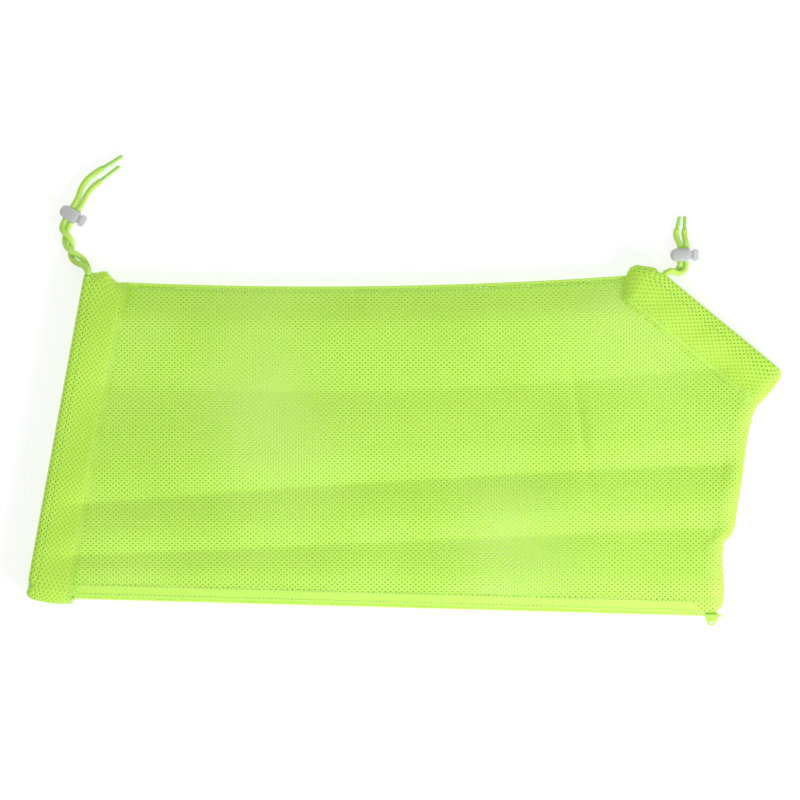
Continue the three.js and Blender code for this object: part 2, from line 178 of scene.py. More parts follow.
# %% [markdown]
# A braided cord is eight strands that run round it both ways and pass over and under each other. Where
# a strand passes over, the surface stands a little proud. That relief is the product of two waves, one
# for each way round, so it needs no separate strands. The same value is kept on every point, and the
# cord's finish uses it for painted shade: the grooves are painted darker than the crowns.

# %% Free cord ends and their tips
CORD_R = 2.05 * MM
BRAID_STRANDS = 4
BRAID_LEAD = 13 * MM
BRAID_RELIEF = 0.07


def braided_cord(name, path, reference, sides=32):
    """radius = R (1 + relief (|w| - 0.6)), w = cos(4 a + turn) cos(4 a - turn), turn = 8 pi s / lead."""
    run = np.concatenate([[0], np.cumsum(np.linalg.norm(np.diff(path, axis=0), axis=1))])[:, None]
    a = 2 * np.pi * np.arange(sides)[None] / sides
    turn = 2 * np.pi * run * BRAID_STRANDS / BRAID_LEAD
    crown = np.cos(BRAID_STRANDS * a + turn) * np.cos(BRAID_STRANDS * a - turn)
    piece = tube(name, path, CORD_R * (1 + BRAID_RELIEF * (np.abs(crown) - 0.6)), sides, reference)
    # Painted shade: the crown value kept here makes the grooves darker in the cord's finish.
    groove_shade = piece.data.attributes.new("crown", "FLOAT", "POINT")
    groove_shade.data.foreach_set("value", np.abs(crown[:, ::-1]).ravel())
    return piece


UP = np.array([0.0, 0.0, 1.0])
LEFT_TWIST = np.array([
    (-219.9, 118.0, 8.5, 5.5, 90), (-220.1, 121.1, 7.8, 5.2, 90), (-221.6, 124.6, 6.6, 4.3, 100),
    (-224.3, 127.4, 5.5, 3.3, 125), (-227.6, 129.6, 4.7, 2.6, 160), (-230.4, 132.2, 4.4, 2.3, 215),
    (-232.2, 135.4, 4.4, 2.3, 268), (-233.3, 139.0, 4.4, 2.3, 323), (-234.2, 142.4, 4.4, 2.3, 374),
    (-235.2, 145.6, 4.4, 2.3, 423), (-236.1, 148.6, 4.4, 2.3, 468), (-236.4, 151.2, 4.45, 2.25, 506),
    (-235.7, 153.4, 4.5, 2.15, 540), (-235.1, 154.44, 4.5, 2.15, 540),
])


def twisted(side):
    """point = middle + side * half * (cos turn to the right, sin turn up), for the two twisted ends."""
    x, y, z, half, turn = LEFT_TWIST.T
    nearby = np.vstack([LEFT_TWIST[:1, :2], LEFT_TWIST[:, :2], LEFT_TWIST[-1:, :2]])
    way = unit(nearby[2:] - nearby[:-2])
    angle = np.deg2rad(turn)
    out = side * half * np.cos(angle)
    rows = np.stack([x + out * way[:, 1], y - out * way[:, 0], z + side * half * np.sin(angle)], -1)
    return [tuple(row) for row in rows * MM]


LEFT_END_A = twisted(1) + [
    (-.2290, .1694, .0045), (-.2275, .1720, .0045), (-.2252, .1788, .0032), (-.2212, .1852, .0023),
    (-.2158, .1898, .0022), (-.2104, .1932, .0022),
]
LEFT_END_B = twisted(-1) + [
    (-.2252, .1672, .0045), (-.2237, .1698, .0045), (-.2206, .1756, .0032), (-.2164, .1806, .0023),
    (-.2116, .1844, .0022),
]
RIGHT_END_A = [
    (.1836, .1199, .0140), (.1862, .1213, .0129), (.1892, .1206, .0108), (.1919, .1196, .0084),
    (.1949, .1204, .0062), (.1971, .1226, .0050), (.1979, .1256, .0045), (.1979, .1270, .0045),
    (.1979, .1380, .0045), (.1979, .1395, .0045), (.1974, .1434, .0034), (.1968, .1472, .0024),
    (.1969, .1504, .0022),
]
RIGHT_END_B = [
    (.1836, .1199, .0030), (.1866, .1211, .0024), (.1898, .1210, .0025), (.1924, .1228, .0035),
    (.1936, .1256, .0045), (.1936, .1270, .0045), (.1936, .1380, .0045), (.1936, .1395, .0045),
    (.1918, .1434, .0034), (.1909, .1472, .0024), (.1915, .1504, .0022),
]
TIP_R = 1.3 * MM
GAP = 0.3 * MM
ROUTE_STEP = 0.28 * MM
LEFT_TIP = 16.5 * MM
RIGHT_TIP = 9 * MM
cord_pieces, tip_pieces = [], []
for side, end, route, reach in (
    ("left", "a", LEFT_END_A, LEFT_TIP), ("left", "b", LEFT_END_B, LEFT_TIP),
    ("right", "a", RIGHT_END_A, RIGHT_TIP), ("right", "b", RIGHT_END_B, RIGHT_TIP),
):
    path = smooth_route(route, ROUTE_STEP)
    cord = braided_cord(f"{side}_cord_{end}", path, UP)
    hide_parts(f"{side}_cord_end_{end}")
    heading = unit(path[-1] - path[-4])
    start = path[-1] + heading * GAP
    k = np.linspace(0, 1, 40)
    shrink = TIP_R * (1 + 0.35 * np.exp(-k * 16) - 0.45 * np.clip((k - 0.93) / 0.07, 0, 1) ** 2)
    tip_path = start + heading * (k * reach)[:, None] - heading * 0.5 * MM * (1 - k)[:, None]
    tip = tube(f"{side}_cord_tip_{end}", tip_path, shrink[:, None], 20, UP)
    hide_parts(f"{side}_tip_{end}")
    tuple(route[0])
    length_of(path)
    cord_pieces.append(cord)
    tip_pieces.append(tip)
    print(cord.name, round(length_of(path), 4), "m")

# %% [markdown]
# The bag is a flattened tube of knit. Its top and bottom edges are two simple lines on the plan, and a
# panel rises from them as a quarter of a sine. Old packing folds cross it from end to end: the cloth
# bulges softly between them and dips along each. Each strip between two folds has its own ridge line.

# %% The bag's height
HEIGHT = 17 * MM
MIDDLE = HEIGHT / 2
MESH_HALF = 0.35 * MM
TAPER = 30 * MM
RISE = MIDDLE - 0.5 * GAP - 2 * MESH_HALF
ZIP_START = np.array([-228.4, -108.0, 0]) * MM
ZIP_TURN = math.radians(-1.55)
FOLD_DEPTH = 4.2 * MM
FADE = 16 * MM
TAPE_WIDTH = 11 * MM
OVER_TAPE = 0.42 * MM
SIDE_WIDTH = 12.6 * MM
SIDE_EDGE = np.array([
    (248.0, 28.5, 0), (245.0, 22.5, 0), (241.2, 8, 0), (238.8, -8, 0), (236.6, -25, 0),
    (233.2, -46, 0), (231.6, -57, 0), (229.0, -63.5, 0), (224.6, -68, 0), (223.3, -75, 0),
    (223.4, -88, 0), (224.4, -100, 0), (223.4, -110, 0), (221.3, -116.4, 0),
]) * MM
side_path = smooth_route(SIDE_EDGE, 1.0 * MM)


def side_x(y):
    """Where the closed side is at each y, read off its smooth edge line."""
    order = np.argsort(side_path[:, 1])
    return np.interp(y, side_path[order, 1], side_path[order, 0])


def bottom_edge(x):
    """The straight zip line: y falls by tan(zip turn) for each metre of x."""
    return ZIP_START[1] + math.tan(ZIP_TURN) * (x - ZIP_START[0])


def top_edge(x):
    """A shallow parabola that is lowest at x = -60 mm."""
    return 110 * MM + 6.5 * MM * ((x + 60 * MM) / (200 * MM)) ** 2


def rise(inset):
    """RISE * sin(90 degrees * inset / TAPER), level from TAPER on."""
    return RISE * np.sin(np.pi / 2 * np.clip(inset / TAPER, 0, 1))


def bell(off, width):
    """exp(-(off / width)^2), one at the middle and near nothing two widths away."""
    return np.exp(-(off / width) ** 2)


def folds(x, y):
    """Depth below the crown: from a strip's ridge out to a line, 0.7 t^1.5 + 0.15 (1 - cos(pi t^1.6)).

    Each strip is (share of the depth at its lower line, at its upper line, place of its ridge). Two short
    puckers, across and slanting, and a slow ripple are added as products of bell curves and of sines.
    """
    lines = [
        bottom_edge(x) - 6 * MM,
        -67.5 * MM + 0.043 * x,
        -25 * MM + 0.062 * x - 0.05 * x * x,
        37.2 * MM + 0.2 * (x + 70 * MM) ** 2,
        top_edge(x) + 8 * MM,
    ]
    depth = np.zeros_like(x)
    strips = ((0.55, 0.8, 0.5), (0.8, 0.9, 0.42), (0.9, 0.95, 0.33), (0.95, 0.5, 0.6))
    for low, high, (at_low, at_high, ridge) in zip(lines, lines[1:], strips):
        k = np.clip((y - low) / (high - low), 0, 1)
        t = np.where(k < ridge, (ridge - k) / ridge, (k - ridge) / (1 - ridge))
        shape = 0.7 * t ** 1.5 + 0.15 - 0.15 * np.cos(np.pi * t ** 1.6)
        inside = (y >= low) & (y < high)
        depth = np.where(inside, np.where(k < ridge, at_low, at_high) * shape, depth)
    cross = 0.25 * bell(x - 0.121 + 0.16 * (y - 0.03), 0.004) * bell(y - 0.012, 0.035)
    slant = 0.2 * bell(x + 0.187 + 0.9 * (y - 0.08), 0.006) * bell(y - 0.082, 0.018)
    ripple = 0.05 * np.sin(x * 61 + 9 * y) * np.sin(y * 83 - 14 * x)
    return FOLD_DEPTH * (depth + cross + slant + ripple + 0.05)


def swell(x, y):
    """Height over the seams: a quarter sine from the long edges, times a quarter ellipse from the side."""
    inset = np.minimum(y - bottom_edge(x), top_edge(x) - y)
    k = np.clip((side_x(y) - x) / SIDE_WIDTH, 0, 1)
    over_tape = OVER_TAPE * np.clip((TAPE_WIDTH + 2 * MM - (y - bottom_edge(x))) / (2 * MM), 0, 1)
    return (rise(inset) + over_tape) * np.sqrt(1 - (1 - k) ** 2)


def front_height(x, y):
    """The swell less the folds, which fade out towards the seams as 3 f^2 - 2 f^3."""
    inset = np.minimum(y - bottom_edge(x) - TAPE_WIDTH, top_edge(x) - y)
    fade = np.clip(np.minimum(inset, side_x(y) - x) / FADE, 0, 1)
    fade = fade * fade * (3 - 2 * fade)
    return MIDDLE + 0.5 * GAP + MESH_HALF + swell(x, y) - folds(x, y) * fade


def back_height(x, y):
    """The same swell downwards, without folds, since the back lies on the floor."""
    return MIDDLE - 0.5 * GAP - MESH_HALF - swell(x, y)


print("deepest fold", round(FOLD_DEPTH / MM, 1), "mm, height", round(HEIGHT / MM, 1), "mm")

# %% [markdown]
# The knit is one layer with a small oval hole in every cell. Its cells are hexagons on a staggered
# grid: each cell keeps the two tips of its own hexagon and borrows the other four corners from its
# neighbours, so the whole cloth is one connected sheet. Real holes are used and not a see-through
# texture, because two layers of holes over each other make the shimmer that such a bag shows.

# %% Knitted mesh
CELL = np.array([3.9, 1.68]) * MM
HOLE = np.array([0.76, 0.48]) * MM
HOLE_SHARE = 2.6
HOLE_SINK = -0.2 * MM
TIP_OUT = (CELL[0] ** 2 / 4 + CELL[1] ** 2) / CELL[0]
CORNERS = np.deg2rad([0, 62, 118, 180, 242, 298])


def knit(name, low, high, keep, place, wrap=False, hole=1.0):
    """Cells at ((i + (j odd) / 2) a, j b). place(u, v, lift) puts cloth coordinates into space.

    keep(u, v) says which cells are used, and wrap joins the last column to the first. A hole's corner is
    cell middle + hole * (HOLE x cos corner, HOLE y sin corner). Returned are the piece and its cloth area,
    which is cells * (pitch area - 2.6 * hole width / 2 * hole height / 2).
    """
    columns = max(3, int(round((high[0] - low[0]) / CELL[0])))
    rows = 2 * max(2, int(round((high[1] - low[1]) / CELL[1] / 2)))
    pitch = np.array([(high[0] - low[0]) / columns, (high[1] - low[1]) / rows])
    j, i = np.meshgrid(np.arange(rows), np.arange(columns), indexing="ij")
    odd = j % 2
    u = low[0] + (i + 0.5 * odd) * pitch[0]
    v = low[1] + (j + 0.5) * pitch[1]
    number = j * columns + i
    right_tip, left_tip = 2 * number, 2 * number + 1

    def beside(row_step, right):
        """The neighbour a row up or down on one side, and whether there is one."""
        row = j + row_step
        column = i + np.where(odd == 1, 1 if right else 0, 0 if right else -1)
        sound = (row >= 0) & (row < rows) & (wrap | ((column >= 0) & (column < columns)))
        return np.clip(row, 0, rows - 1) * columns + column % columns, sound

    up_right, a = beside(1, True)
    up_left, b = beside(1, False)
    down_left, c = beside(-1, False)
    down_right, d = beside(-1, True)
    outer = np.stack(
        [right_tip, 2 * up_right + 1, 2 * up_left, left_tip, 2 * down_left, 2 * down_right + 1], -1)
    use = keep(u, v) & a & b & c & d
    tip = TIP_OUT * pitch[0] / CELL[0]
    tips_u = np.stack([u + tip, u - tip], -1)
    tips_v = np.stack([v, v], -1)
    ring_u = u[..., None] + hole * HOLE[0] * np.cos(CORNERS)
    ring_v = v[..., None] + hole * HOLE[1] * np.sin(CORNERS)
    first_ring = 2 * rows * columns
    ring = first_ring + 6 * number[..., None] + np.arange(6)
    next_outer, next_ring = np.roll(outer, -1, -1), np.roll(ring, -1, -1)
    quads = np.stack([outer, next_outer, next_ring, ring], -1)[use].reshape(-1, 4)
    flat_u = np.concatenate([tips_u.ravel(), ring_u.ravel()])
    flat_v = np.concatenate([tips_v.ravel(), ring_v.ravel()])
    lift = np.concatenate([np.zeros(tips_u.size), np.full(ring_u.size, HOLE_SINK)])
    used, quads = np.unique(quads, return_inverse=True)
    points = place(flat_u[used], flat_v[used], lift[used])
    piece = make_piece(name, points, quads.reshape(-1, 4))
    open_part = HOLE_SHARE * hole ** 2 * HOLE[0] * HOLE[1]
    area = float(use.sum()) * (pitch[0] * pitch[1] - open_part)
    print(name, int(use.sum()), "cells,", len(quads) * 2, "triangles")
    return piece, area


# %% [markdown]
# Both panels stop under the hems, the tapes and the side fold, as the sewn ones do. The plan is cut by
# half planes: a hem line has a point on it and a direction into the bag. The back's holes are smaller and
# its rows lie at a slight slant, so that few holes of the two layers fall in line.

# %% Front and back panels
def direction(degrees):
    """(cos, sin) of an angle on the plan."""
    turn = math.radians(degrees)
    return np.array([math.cos(turn), math.sin(turn)])


LEFT_MOUTH = {"at": np.array([-263.0, -102.1]) * MM, "angle": -10.34, "length": 223.6 * MM}
RIGHT_MOUTH = {"at": np.array([171.57, 128.08]) * MM, "angle": -129.36, "length": 119.2 * MM}


def inward(mouth, x, y):
    """How far a place is into the bag from a mouth's line."""
    d = direction(mouth["angle"])
    return (x - mouth["at"][0]) * d[0] + (y - mouth["at"][1]) * d[1]


UNDER_HEM = 27 * MM
FROM_BOTTOM = 2.1 * MM
FROM_TOP = 1.5 * MM
FROM_SIDE = 2.2 * MM
CLOTH = (0.50, 0.252)
BACK_HOLE = 0.72
BACK_SLANT = 0.012


def on_panel(x, y):
    """Inside the seams, and clear of both hems, or past the upper end of the short one."""
    inside = (y > bottom_edge(x) + FROM_BOTTOM) & (y < top_edge(x) - FROM_TOP)
    into_right = inward(RIGHT_MOUTH, x, y)
    d = direction(RIGHT_MOUTH["angle"])
    along_right = (y - RIGHT_MOUTH["at"][1]) * d[0] - (x - RIGHT_MOUTH["at"][0]) * d[1]
    past_hem = (along_right < -2 * MM) & (into_right > 14 * MM)
    clear = (inward(LEFT_MOUTH, x, y) > UNDER_HEM) & ((into_right > UNDER_HEM) | past_hem)
    return inside & clear & (x < side_x(y) - FROM_SIDE)


def panel(name, node, height, side, shift, slant, hole):
    """A knit laid on a height: x = u + slant * v, y = v - slant * u, z = height + side * lift."""
    def place(u, v, lift):
        x, y = u + slant * v, v - slant * u
        return np.stack([x, y, height(x, y) + side * lift], -1)

    def keep(u, v):
        return on_panel(u + slant * v, v - slant * u)

    low = (-0.245 + shift[0], -0.125 + shift[1])
    piece, area = knit(name, low, (low[0] + CLOTH[0], low[1] + CLOTH[1]), keep, place, hole=hole)
    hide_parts(node)
    max(0.24, area / 0.48)
    return piece


front = panel("front_knit", "front_panel", front_height, 1, (0, 0), 0.0, 1.0)
back = panel("back_knit", "back_panel", back_height, -1, (1.3 * MM, 0.5 * MM), BACK_SLANT, BACK_HOLE)

# %% [markdown]
# A hem is the same knit turned over at the mouth. Its edge is a roll that holds the drawcord, and the
# turned layer runs back inside to the stitching. So its section is one line: over the outside, round the
# roll, then back underneath. That line goes round the mouth, which is a flat loop with two round ends.
# The ends of a real hem puff out a little, so each end here is pushed out by its own short list of
# (distance into the bag, push), both in millimetres.

# %% Drawcord hems
ROLL_R = 3 * MM
HEM_DEPTH = 34.2 * MM
HEM_SECTION = np.array([
    (34.2, 8.2), (31.5, 8.3), (29.4, 8.0), (27.5, 8.32), (24, 8.36), (18, 8.38), (10, 8.36),
    (3, 8.3), (1.4, 7.9), (0.4, 6.9), (0.2, 5.5), (0.5, 4.1), (1.5, 3.1), (3, 2.8),
    (4.6, 3.4), (6, 4.9), (8, 6.6), (11, 7.4), (16, 7.7), (26, 7.75), (31, 7.8),
]) * MM
HEM_RADIUS = 8.2 * MM
PUFF_REACH = 13 * MM
PUCKER = 0.16 * MM


def measured(points):
    """A line of points as a function of the length along it, and its whole length."""
    run = np.concatenate([[0], np.cumsum(np.linalg.norm(np.diff(points, axis=0), axis=1))])

    def at(length):
        """Each coordinate read off between the points on either side."""
        return [np.interp(length, run, points[:, c]) for c in range(points.shape[1])]

    return at, run[-1]


def from_mouth(mouth, into, along, z):
    """A mouth's own coordinates in space: into the bag, along the mouth and up."""
    d = direction(mouth["angle"])
    x = mouth["at"][0] + into * d[0] - along * d[1]
    y = mouth["at"][1] + into * d[1] + along * d[0]
    return np.stack([x, y, z], -1)


def round_loop(length, u):
    """Place on the loop round a mouth: along, and the two parts of the outward direction."""
    straight = length - HEIGHT
    arc = np.pi * HEM_RADIUS
    u = np.mod(u, 2 * (straight + arc))
    far = (u >= straight) & (u < straight + arc)
    under = (u >= straight + arc) & (u < 2 * straight + arc)
    near = u >= 2 * straight + arc
    turn = np.where(far, (u - straight) / HEM_RADIUS, 0)
    turn = np.where(under, np.pi, turn)
    turn = np.where(near, np.pi + (u - 2 * straight - arc) / HEM_RADIUS, turn)
    along = np.where(far, straight, np.clip(u, 0, straight))
    along = np.where(under, 2 * straight + arc - u, along)
    along = np.where(near, 0, along)
    return along + MIDDLE, np.sin(turn), np.cos(turn)


def hem_place(mouth, near_push, far_push, notch):
    """point = mouth frame of (into, along + out * rho + push, MIDDLE + up * rho), less the bag's folds.

    rho is the section's height, and notch is (place, depth) of a small dent in the mouth's edge.
    """
    section, _ = measured(HEM_SECTION)
    near_x, near_out = np.array(near_push).T * MM
    far_x, far_out = np.array(far_push).T * MM

    def place(u, v, lift):
        into, rho = section(v)
        inside = v > HEM_LENGTH * 0.55
        rho = rho + np.where(inside, 0, lift)
        rho = rho + PUCKER * np.sin(u * 210 + into * 90) * np.clip(into / (8 * MM), 0, 1)
        along, out, up = round_loop(mouth["length"], u)
        along = along + out * rho
        near = bell(along, PUFF_REACH)
        far = bell(mouth["length"] - along, PUFF_REACH)
        along = along - np.interp(into, near_x, near_out) * near + np.interp(into, far_x, far_out) * far
        into = into + notch[1] * np.exp(-((along - notch[0]) / (2.2 * MM)) ** 2 - into / (9 * MM))
        points = from_mouth(mouth, into, along, MIDDLE + up * rho)
        fade = np.clip(up, 0, 1) * np.clip((into - 4 * MM) / (24 * MM), 0, 1)
        points[:, 2] -= folds(points[:, 0], points[:, 1]) * fade
        return points

    return place


def every_cell(u, v):
    """All the cells of a whole strip are kept."""
    return np.ones(u.shape, bool)


HEM_LENGTH = measured(HEM_SECTION)[1]


def hem(name, node, mouth, near_push, far_push, notch):
    """A knit as long as the loop, 2 (mouth length - height + pi radius), and as wide as the section."""
    place = hem_place(mouth, near_push, far_push, notch)
    loop = 2 * (mouth["length"] - HEIGHT + np.pi * HEM_RADIUS)
    piece, area = knit(name, (0, 0), (loop, HEM_LENGTH), every_cell, place, wrap=True)
    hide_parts(node)
    print(name, "loop", round(loop, 4), "section", round(HEM_LENGTH, 4))
    return piece, place, loop


left_hem, left_place, left_loop = hem(
    "left_hem", "left_casing", LEFT_MOUTH,
    [(0, 3.5), (5, 5.3), (16, 5.6), (26, 4.8), (34, 3.2)],
    [(0, 2.9), (7.5, 3.6), (12, 5.6), (15, 6.2), (19, 3), (23, 0.2), (33, 0)], (4.5 * MM, 3 * MM))
right_hem, right_place, right_loop = hem(
    "right_hem", "right_casing", RIGHT_MOUTH,
    [(0, -6), (3, -2), (6, 3), (8.2, 5.8), (11.5, 7.3), (16, 6.7), (21, 4.9), (27, 2.5), (33, 1.5)],
    [(0, 1.5), (5, 4.3), (21, 4.5), (33, 3.5)], (10 * MM, 1.5 * MM))

# %% [markdown]
# Inside each hem one drawcord runs right round the mouth, and both its ends leave at the same corner. Only
# its colour and roundness show through the knit, so its braid is made coarser than that of the free ends.

# %% Drawcords inside the hems
ROLL_TURN = MIDDLE - ROLL_R
EXIT_TURN = 5 * MM
RIGHT_EXIT = 19.3 * MM
HELD_STEP = 0.6 * MM


def round_the_mouth(mouth, near, far, sideways):
    """Along the upper roll, half a circle down at the far end, and back along the lower roll."""
    heading = np.sign(near - far)
    a = np.linspace(0, np.pi, 30)
    turn_y = far - heading * ROLL_TURN * np.sin(a)
    turn_z = MIDDLE + ROLL_TURN * np.cos(a)
    b = np.linspace(np.pi / 2, 0, 12) if sideways else np.zeros(1)
    out_x = ROLL_R - EXIT_TURN * (1 - np.cos(b))
    out_y = near + heading * EXIT_TURN * np.sin(b)
    into = np.concatenate([out_x, np.full(30, ROLL_R), out_x[::-1]])
    along = np.concatenate([out_y, turn_y, out_y[::-1]])
    z = np.concatenate([np.full(len(b), HEIGHT - ROLL_R), turn_z, np.full(len(b), ROLL_R)])
    route = from_mouth(mouth, into, along, z)
    at, length = measured(route)
    return np.stack(at(np.linspace(0, length, int(length / HELD_STEP))), -1)


for side, mouth, near, far, sideways in (
    ("left", LEFT_MOUTH, LEFT_MOUTH["length"], MIDDLE, False),
    ("right", RIGHT_MOUTH, RIGHT_EXIT, RIGHT_MOUTH["length"] - MIDDLE, True),
):
    path = round_the_mouth(mouth, near, far, sideways)
    cord = braided_cord(f"{side}_held_cord", path, UP, sides=20)
    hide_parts(f"{side}_drawcord")
    cord_pieces.append(cord)
    print(cord.name, round(length_of(path), 4), "m inside the hem")

# %% [markdown]
# The closed side of the bag is the knit folded over and turned in. Its section is half an ellipse outside
# and the same again just inside it. The sewn top edge is a narrow folded strip that closes the two panels.

# %% Side fold and top seam
def side_frame(u):
    """A place u along the side: its point and the level direction that points out of the bag."""
    at, length = measured(side_path)
    x, y, _ = at(u)
    ahead, behind = at(np.clip(u + 1 * MM, 0, length)), at(np.clip(u - 1 * MM, 0, length))
    along = unit(np.stack([ahead[0] - behind[0], ahead[1] - behind[1]], -1))
    return x, y, -along[:, 1], along[:, 0]


a = np.linspace(-np.pi / 2, np.pi / 2, 31)
outer = np.stack([SIDE_WIDTH * (np.cos(a) - 1), (MIDDLE - 1.0 * MM) * np.sin(a)], -1)
inner = np.stack([(SIDE_WIDTH - 0.8 * MM) * np.cos(a) - SIDE_WIDTH, (MIDDLE - 1.7 * MM) * np.sin(a)], -1)
side_section, side_width = measured(np.vstack([outer, inner[::-1]]))
SIDE_HOLE = 0.9


def place_side(u, v, lift):
    """point = edge + out * (section out), MIDDLE + (section z) * rise, less the bag's folds."""
    x, y, out_x, out_y = side_frame(np.clip(u, 0, side_length))
    out, z = side_section(v)
    px, py = x + out_x * out, y + out_y * out
    z = z * np.clip(rise(py - bottom_edge(px)) / RISE, 0.12, 1)
    dip = folds(px, py) * np.clip(z / MIDDLE, 0, 1) * np.clip(-out / SIDE_WIDTH, 0, 1)
    return np.stack([px, py, MIDDLE + z - dip], -1)


side_length = length_of(side_path)
side_fold, side_area = knit(
    "side_fold", (0, 0), (side_length, side_width), every_cell, place_side, hole=SIDE_HOLE)
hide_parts("side_binding")

SEAM_FROM, SEAM_TO = -197 * MM, 164 * MM
seam_x = np.linspace(SEAM_FROM, SEAM_TO, 500)
seam_path = np.stack([seam_x, top_edge(seam_x), np.full_like(seam_x, MIDDLE)], -1)
SEAM_SECTION = np.array([
    (0.4, 0), (0.3, 0.5), (-0.1, 0.75), (-0.9, 0.85), (-1.7, 0.75), (-2.1, 0.4),
    (-2.1, -0.4), (-1.7, -0.75), (-0.9, -0.85), (-0.1, -0.75), (0.3, -0.5),
]) * MM


def strip(name, path, section, level):
    """A closed section of (out, up) carried along a path, with level the way that points out."""
    rings = path[:, None] + level[:, None] * section[None, :, :1] + UP * section[None, :, 1:]
    return sweep(name, rings)


seam_out = np.gradient(seam_path, axis=0)
seam_out = unit(np.stack([-seam_out[:, 1], seam_out[:, 0], np.zeros(len(seam_x))], -1))
top_seam = strip("top_seam", seam_path, SEAM_SECTION, seam_out)

# %% [markdown]
# The zip lies along the bottom edge. Each woven tape follows the rise of its panel, and at its edge is a
# coil of plastic wire, which is one long spring. A helix gives that in one formula: across = cos a and
# up = sin a, while along grows with a. Its turns stay coarse because there are hundreds of them, and the
# wire ends inside the stop at the closed end.

# %% Zip tapes and coils
CHAIN_LENGTH = 448.6 * MM
TAPE_LENGTH = 434 * MM
TAPE_THICK = 0.62 * MM
TAPE_ACROSS = np.array([1.75, 4, 6, 8, 10, 11.3]) * MM
WIRE_R = 0.3 * MM
TURN_PITCH = 1.0 * MM
TURN_ACROSS = 0.52 * MM
TURN_UP = 0.68 * MM
COIL_INSET = 0.9 * MM
COIL_OFF = 1.38 * MM
zip_along = np.array([math.cos(ZIP_TURN), math.sin(ZIP_TURN), 0])
zip_in = np.array([-math.sin(ZIP_TURN), math.cos(ZIP_TURN), 0])


def zip_point(along, into, z):
    """point = zip start + along * zip direction + into * the way into the bag + z up."""
    return ZIP_START + np.multiply.outer(along, zip_along) + np.multiply.outer(into, zip_in) \
        + np.multiply.outer(z, UP)


tapes, coils = [], []
for half, side in (("front", 1), ("back", -1)):
    stations = np.linspace(0, TAPE_LENGTH, 436)
    under = 0.5 * GAP + rise(TAPE_ACROSS)
    section = np.concatenate([
        np.stack([-TAPE_ACROSS, side * (under + TAPE_THICK)], -1),
        np.stack([-TAPE_ACROSS, side * under], -1)[::-1]])
    section = section[::side]
    path = zip_point(stations, 0.0, MIDDLE)
    tape = strip(f"zip_{half}_tape", path, section, np.broadcast_to(-zip_in, path.shape))
    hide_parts(f"zip_tape_{half}")
    tapes.append(tape)
    turns = int(CHAIN_LENGTH / TURN_PITCH)
    a = np.linspace(0, 2 * np.pi * turns, turns * 8 + 1) + (0 if side > 0 else np.pi)
    along = np.linspace(0.4 * MM, CHAIN_LENGTH + 1.1 * MM, len(a))
    wire = zip_point(along, COIL_INSET, MIDDLE) + np.outer(TURN_ACROSS * np.cos(a), zip_in) \
        + np.outer(side * COIL_OFF + TURN_UP * np.sin(a), UP)
    coil = tube(f"zip_{half}_coil", wire, WIRE_R, 5, zip_along)
    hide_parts(f"zip_coil_{half}")
    coils.append(coil)
print("zip coils", turns, "turns each,", len(coils[0].data.polygons) * 2, "triangles")

# %% [markdown]
# Moulded and pressed parts start from their measured shape. A merged copy of the measured solid gets its
# edges rounded by a Bevel, because no real edge is razor sharp, and a rounded one catches a thin highlight.
# The cord locks are rounder than their measured boxes, so their points are also moved part of the way
# towards an egg that fits in the same box.

# %% Slider, stops and cord locks
BEVEL_FROM = 32
FLAT_WITHIN = 3


def eased(name, node, body, width, reshape=None):
    """A merged copy of a measured solid with its edges rounded off, and its points moved by reshape."""
    copy = bmesh.new()
    copy.from_mesh(bpy.data.objects[node].data)
    bmesh.ops.remove_doubles(copy, verts=copy.verts, dist=1e-6)
    if reshape is None:
        flat = math.radians(FLAT_WITHIN)
        bmesh.ops.dissolve_limit(copy, angle_limit=flat, verts=copy.verts, edges=copy.edges)
    else:
        for edge_length in (3 * MM, 1.8 * MM, 1.2 * MM):
            long_edges = [e for e in copy.edges if e.calc_length() > edge_length]
            bmesh.ops.subdivide_edges(copy, edges=long_edges, cuts=1)
            bmesh.ops.triangulate(copy, faces=copy.faces)
    mesh = bpy.data.meshes.new(name)
    copy.to_mesh(mesh)
    copy.free()
    if reshape is not None:
        points = np.empty(len(mesh.vertices) * 3, np.float32)
        mesh.vertices.foreach_get("co", points)
        mesh.vertices.foreach_set("co", reshape(points.reshape(-1, 3)).astype(np.float32).ravel())
    mesh.polygons.foreach_set("use_smooth", np.ones(len(mesh.polygons), bool))
    piece = bpy.data.objects.new(name, mesh)
    bpy.context.collection.objects.link(piece)
    bevel = piece.modifiers.new("eased", "BEVEL")
    bevel.width = width
    bevel.segments = 2
    bevel.limit_method = "ANGLE"
    bevel.angle_limit = math.radians(BEVEL_FROM)
    bevel.harden_normals = True
    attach(piece, body)
    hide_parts(node)
    return piece


LOCKS = {"left": ((-231.6, 160.5), -30.0), "right": ((195.8, 132.5), 0.0)}
LOCK_HEIGHT = 4.5
SHELL_BOX = ((-9, -5, -4.5), (10, 5, 4.5))
BUTTON_BOX = ((-2, -5, -4.5), (11, 5, 4.5))
SHELL_ROUND = 0.6
BUTTON_ROUND = 0.15
SLIDER_EDGE = 0.22 * MM
SMALL_EDGE = 0.3 * MM


